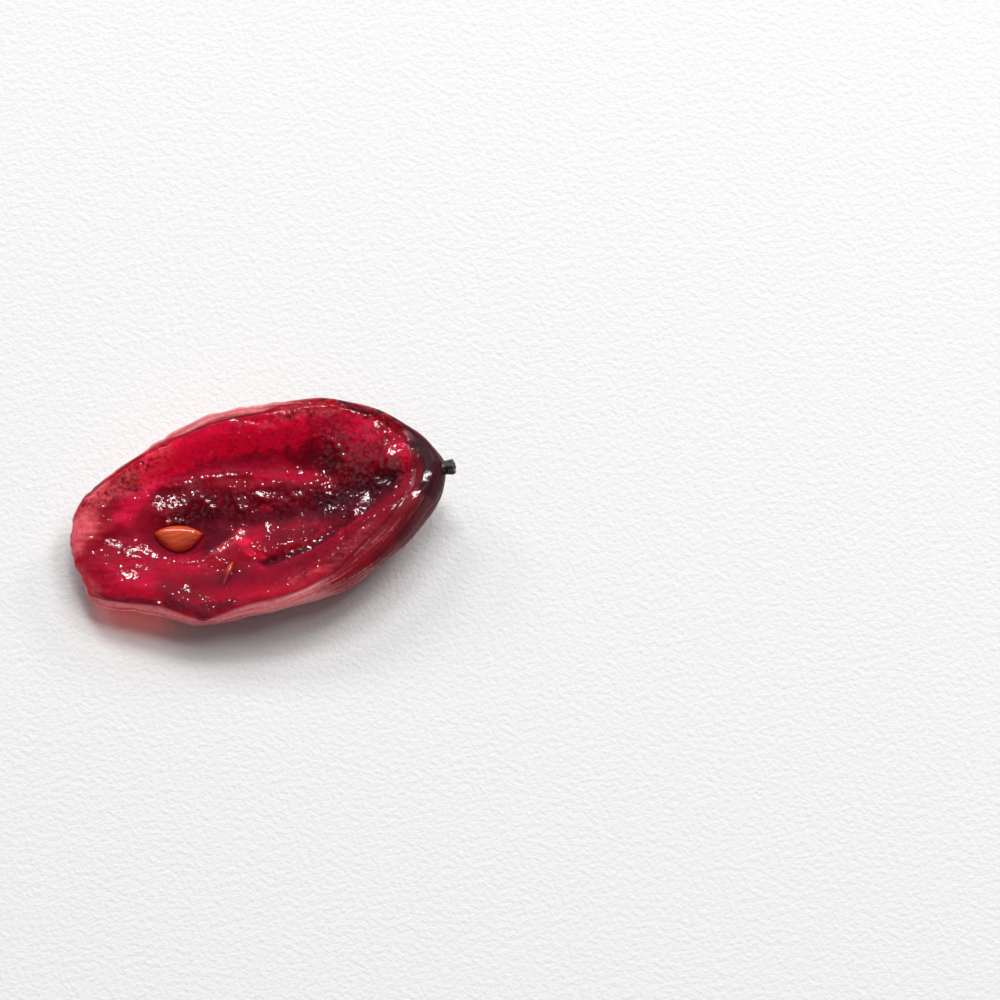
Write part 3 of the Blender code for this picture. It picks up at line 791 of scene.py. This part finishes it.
# The painted glow, as emission.
glow_colour = attribute_wire(tree, "lit_rim").blend(NO_GLOW, RIM_GLOW)
glow_colour = attribute_wire(tree, "glow").blend(glow_colour, UNDERSIDE_GLOW)
fill_sockets(
    tree,
    shader,
    {
        "Base Color": colour,
        "Roughness": skin.mix(0.45 + (grain - 0.5) * 0.20, 0.50 - shoulder * 0.25),
        "Specular IOR Level": 0.04,
        "Coat Weight": syrup,
        "Coat Roughness": 0.06,
        "Coat IOR": 2.20,
        "Normal": fine_bump(tree, (fine_grain + grain) * (1.0 - syrup), GRAIN_DEPTH),
        "Subsurface Weight": 1.0,
        "Subsurface Radius": LIGHT_REACH_RGB,
        "Subsurface Scale": LIGHT_REACH * MM,
        "Emission Color": glow_colour,
        "Emission Strength": 1.0,
    },
)
fruit.data.materials.append(finish)
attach(fruit, "root")
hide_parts("berry")

# Stem stub
# What is left of the dried stalk: a stiff, dark, fluted peg of wood with a broken end, which has grown into
# the fruit's stem end.

STEM_RADIUS = 0.27
STEM_LENGTH = 1.25
STEM_BASE = (7.20, -0.08, 2.42)
STEM_SUNK = 0.04
STEM_TURN_DEG = -8.0
STEM_RISE_DEG = 12.0
# The flutes along the stub, and how deep they and the other unevenness are and how far the stub flares
# towards its broken end, as shares of its radius.
STEM_FLUTES = 5
FLUTE_DEPTH = 0.10
STEM_UNEVENNESS = 0.12
STEM_FLARE = 0.22
# How rough and how hollow the broken end is, and the rings of faces on the ends.
BREAK_ROUGHNESS = 0.06
BREAK_HOLLOW = 0.10
END_RINGS = 4
END_RING_WIDTH = 0.05
STEM_BROWN = (0.014, 0.009, 0.009, 1.0)
STEM_PALER = (0.060, 0.030, 0.026, 1.0)

mesh = bmesh.new()
radii = {"radius1": STEM_RADIUS, "radius2": STEM_RADIUS}
bmesh.ops.create_cone(mesh, cap_ends=True, segments=48, depth=STEM_LENGTH, **radii)
along = [e for e in mesh.edges if abs(e.verts[0].co.z - e.verts[1].co.z) > 0.1]
bmesh.ops.subdivide_edges(mesh, edges=along, cuts=24, use_grid_fill=True)
caps = [f for f in mesh.faces if len(f.verts) > 4]
for _ in range(END_RINGS):
    bmesh.ops.inset_region(mesh, faces=caps, thickness=END_RING_WIDTH)
for vertex in mesh.verts:
    spot = vertex.co
    round_it = math.atan2(spot.y, spot.x)
    flute = 1.0 + FLUTE_DEPTH * math.cos(STEM_FLUTES * round_it + 1.0)
    flute += STEM_UNEVENNESS * noise.noise(spot * 6.0)
    flare = 1.0 + STEM_FLARE * max(0.0, spot.z / (STEM_LENGTH / 2.0)) ** 3
    spot.x *= flute * flare
    spot.y *= flute * flare
    # The broken end is rough, and hollow in the middle.
    if spot.z > STEM_LENGTH / 2.0 - 0.001:
        inward = 1.0 - min(1.0, spot.xy.length / STEM_RADIUS)
        spot.z += BREAK_ROUGHNESS * noise.noise(spot * 9.0) - BREAK_HOLLOW * inward
point_ahead = Matrix.Rotation(math.radians(90.0 - STEM_RISE_DEG), 4, "Y")
turn = Matrix.Rotation(math.radians(STEM_TURN_DEG), 4, "Z")
base = Vector(STEM_BASE) - Vector((*BOX_MIDDLE, 0.0))
out_of_fruit = Matrix.Translation((0.0, 0.0, STEM_LENGTH / 2.0 - STEM_SUNK))
mesh.transform(Matrix.Translation(base) @ turn @ point_ahead @ out_of_fruit)
stem_mesh = bpy.data.meshes.new("stem_stub")
mesh.to_mesh(stem_mesh)
mesh.free()
stem_mesh.transform(Matrix.Scale(MM, 4))
stem_mesh.shade_smooth()
stem = bpy.data.objects.new("stem_stub", stem_mesh)
bpy.context.scene.collection.objects.link(stem)

finish, tree, shader = new_finish("dried_stalk")
streaks = speckle(tree, 3.0, 3.0, (0.3, 1.0, 1.0))
colour = streaks.between(0.4, 0.7).blend(STEM_BROWN, STEM_PALER)
fill_sockets(tree, shader, {"Base Color": colour, "Roughness": 0.30})
stem.data.materials.append(finish)
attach(stem, "root")
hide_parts("berry")

# Seeds
# Two of the fruit's flat, pointed seeds. One lies bare in its chamber, and of the other only a sliver shows
# in the flesh. Each has a thin, glossy, orange-brown coat with fine lines along it.

SEED_ORANGE = (0.900, 0.115, 0.026, 1.0)
SEED_BROWN = (0.240, 0.026, 0.010, 1.0)
# The colour of the thin flesh that lies over the sunken seed.
SEED_COVER = (0.230, 0.010, 0.020, 1.0)
SEED_LINE_DEPTH = 0.012
# How full the belly and the back of a seed's outline are: it is shaped like a D.
SEED_BELLY = 1.36
SEED_BACK = 0.60
# The higher these are, the nearer its points a seed keeps its width, and its top the full height.
SEED_TAPER = 2.1
SEED_TOP_TAPER = 5.0
SEED_RIBS = 14
SEED_RIB_HEIGHT = 0.006
SEEDS = (
    {
        "node": "seed",
        "length": 2.12,
        "width": 1.14,
        "thickness": 0.86,
        "turn_deg": -14.0,
        "lean_deg": 12.0,
        "covered": 0.0,
    },
    {
        "node": "sunken_seed",
        "length": 1.80,
        "width": 0.40,
        "thickness": 0.80,
        "turn_deg": 238.0,
        "lean_deg": 0.0,
        "covered": 0.9,
    },
)

finish, tree, shader = new_finish("seed_coat")
lines = speckle(tree, 9.0, 3.0, (0.12, 1.0, 1.0))
patches = speckle(tree, 1.6, 2.0)
covered = attribute_wire(tree, "covered")
colour = (lines.between(0.42, 0.64) * 0.5 + patches * 0.18).blend(SEED_ORANGE, SEED_BROWN)
colour = (covered + patches * 0.3 * covered).clamped().blend(colour, SEED_COVER)
fill_sockets(
    tree,
    shader,
    {
        "Base Color": colour,
        "Roughness": 0.35,
        "Specular IOR Level": 0.10,
        "Coat Weight": (0.9 - covered * 1.3).clamped(),
        "Coat Roughness": 0.05,
        "Coat IOR": 2.0,
        "Normal": fine_bump(tree, lines, SEED_LINE_DEPTH),
        "Subsurface Weight": 0.35,
        "Subsurface Radius": (1.0, 0.35, 0.12),
        "Subsurface Scale": 0.4 * MM,
    },
)

for form in SEEDS:
    low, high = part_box(form["node"])
    middle = (Vector(low) + Vector(high)) / 2.0 / MM
    mesh = bmesh.new()
    bmesh.ops.create_uvsphere(mesh, u_segments=96, v_segments=64, radius=1.0)
    mesh.transform(Matrix.Rotation(math.pi / 2.0, 4, "Y"))
    aheads = np.array([v.co.x for v in mesh.verts])
    # Both ends are pointed, and the top is level for most of its length.
    for vertex in mesh.verts:
        ahead, aside, up = vertex.co
        across = max(1e-6, math.sqrt(1.0 - ahead * ahead))
        pointed = (1.0 - abs(ahead) ** SEED_TAPER) / across
        level = (1.0 - abs(ahead) ** SEED_TOP_TAPER) / across
        fuller = SEED_BELLY if aside < 0.0 else SEED_BACK
        round_it = math.atan2(up, aside)
        ribs = 1.0 + SEED_RIB_HEIGHT * math.cos(SEED_RIBS * round_it) * (1.0 - ahead * ahead)
        vertex.co = (
            ahead * form["length"] / 2.0,
            aside * form["width"] / 2.0 * pointed * fuller * ribs,
            up * form["thickness"] / 2.0 * (level if up > 0.0 else pointed) * ribs,
        )
    lean = Matrix.Rotation(math.radians(form["lean_deg"]), 4, "X")
    mesh.transform(Matrix.Rotation(math.radians(form["turn_deg"]), 4, "Z") @ lean)
    spots = np.array([v.co for v in mesh.verts])
    mesh.transform(Matrix.Translation(middle - Vector((spots.min(axis=0) + spots.max(axis=0)) / 2.0)))
    seed_mesh = bpy.data.meshes.new(form["node"] + "_coat")
    mesh.to_mesh(seed_mesh)
    mesh.free()
    seed_mesh.transform(Matrix.Scale(MM, 4))
    seed_mesh.shade_smooth()
    covered = form["covered"] * (0.15 + 0.85 * smooth_step(-0.80, 0.10, aheads))
    attribute = seed_mesh.attributes.new("covered", "FLOAT", "POINT")
    attribute.data.foreach_set("value", np.asarray(covered, np.float32))
    seed = bpy.data.objects.new(form["node"] + "_coat", seed_mesh)
    bpy.context.scene.collection.objects.link(seed)
    seed.data.materials.append(finish)
    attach(seed, "root")
    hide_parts(form["node"])

# Paper
# A sheet of white, faintly pebbled paper, which isn't part of the fruit.

PAPER_HALF = 400.0
PAPER_WHITE = (0.86, 0.86, 0.86, 1.0)
PEBBLE_DEPTH = 0.08

mesh = bmesh.new()
bmesh.ops.create_grid(mesh, x_segments=1, y_segments=1, size=PAPER_HALF * MM)
paper_mesh = bpy.data.meshes.new("paper")
mesh.to_mesh(paper_mesh)
mesh.free()
paper = bpy.data.objects.new("paper", paper_mesh)
bpy.context.scene.collection.objects.link(paper)

finish, tree, shader = new_finish("paper")
pebbles = fine_bump(tree, speckle(tree, 4.2, 1.0), PEBBLE_DEPTH, strength=0.60)
sockets = {"Base Color": PAPER_WHITE, "Roughness": 0.75, "Specular IOR Level": 0.2, "Normal": pebbles}
fill_sockets(tree, shader, sockets)
paper.data.materials.append(finish)

# Light
# Round soft boxes behind the fruit and on its right, which leave a soft shadow on the near side, and a white
# studio that lights the shadow a little.

LIGHT_DISTANCE = 500.0
SOFT_BOX_SIZE = 130.0
STUDIO_BRIGHTNESS = 0.13
# Each box's direction round the fruit and its height above the paper, in degrees, and its power in watts.
SOFT_BOXES = (
    (0.0, 62.0, 0.32),
    (32.0, 50.0, 0.46),
    (30.0, 28.0, 0.42),
    (50.0, 72.0, 0.36),
    (56.0, 54.0, 0.30),
    (79.0, 58.0, 0.54),
    (95.0, 40.0, 0.46),
    (122.0, 30.0, 0.28),
)

for azimuth_deg, height_deg, power in SOFT_BOXES:
    lamp = bpy.data.lights.new("soft_box", "AREA")
    lamp.shape = "DISK"
    lamp.size = SOFT_BOX_SIZE * MM
    lamp.energy = power
    light = bpy.data.objects.new("soft_box", lamp)
    bpy.context.scene.collection.objects.link(light)
    azimuth = math.radians(azimuth_deg)
    height = math.radians(height_deg)
    level = Vector((math.cos(azimuth), math.sin(azimuth), 0.0)) * math.cos(height)
    toward = level + Vector((0.0, 0.0, math.sin(height)))
    light.location = toward * LIGHT_DISTANCE * MM
    light.rotation_mode = "QUATERNION"
    light.rotation_quaternion = toward.to_track_quat("Z", "Y")
    light.visible_camera = False
world = bpy.data.worlds.new("studio")
bpy.context.scene.world = world
world.use_nodes = True
studio = {"Color": (1.0, 1.0, 1.0, 1.0), "Strength": STUDIO_BRIGHTNESS}
fill_sockets(world.node_tree, world.node_tree.nodes["Background"], studio)

# Camera
# A long lens looking down on the cut face, from the left of the near side. The paper under the middle of the
# fruit is at ORIGIN_PIXEL in a picture of 1000 by 1000 pixels.

VIEW_TURN_DEG = -14.0
VIEW_HEIGHT_DEG = 65.0
PIXELS_PER_MM = 23.5
PICTURE_PIXELS = 1000.0
ORIGIN_PIXEL = (265.7, 531.4)
CAMERA_DISTANCE = 450.0
SENSOR_WIDTH = 36.0

turn = math.radians(VIEW_TURN_DEG)
height = math.radians(VIEW_HEIGHT_DEG)
right = Vector((math.cos(turn), math.sin(turn), 0.0))
up = Vector((-math.sin(turn) * math.sin(height), math.cos(turn) * math.sin(height), math.cos(height)))
back = right.cross(up)
middle = PICTURE_PIXELS / 2.0
aim = (right * (middle - ORIGIN_PIXEL[0]) + up * (ORIGIN_PIXEL[1] - middle)) / PIXELS_PER_MM
camera_data = bpy.data.cameras.new("camera")
camera_data.sensor_width = SENSOR_WIDTH
camera_data.lens = SENSOR_WIDTH * CAMERA_DISTANCE / (PICTURE_PIXELS / PIXELS_PER_MM)
camera_data.clip_start = 10.0 * MM
camera_data.clip_end = 5000.0 * MM
camera = bpy.data.objects.new("camera", camera_data)
bpy.context.scene.collection.objects.link(camera)
camera.rotation_mode = "QUATERNION"
camera.rotation_quaternion = back.to_track_quat("Z", "Y")
camera.location = (aim + back * CAMERA_DISTANCE) * MM
bpy.context.scene.camera = camera
bpy.context.scene.view_settings.view_transform = "Standard"
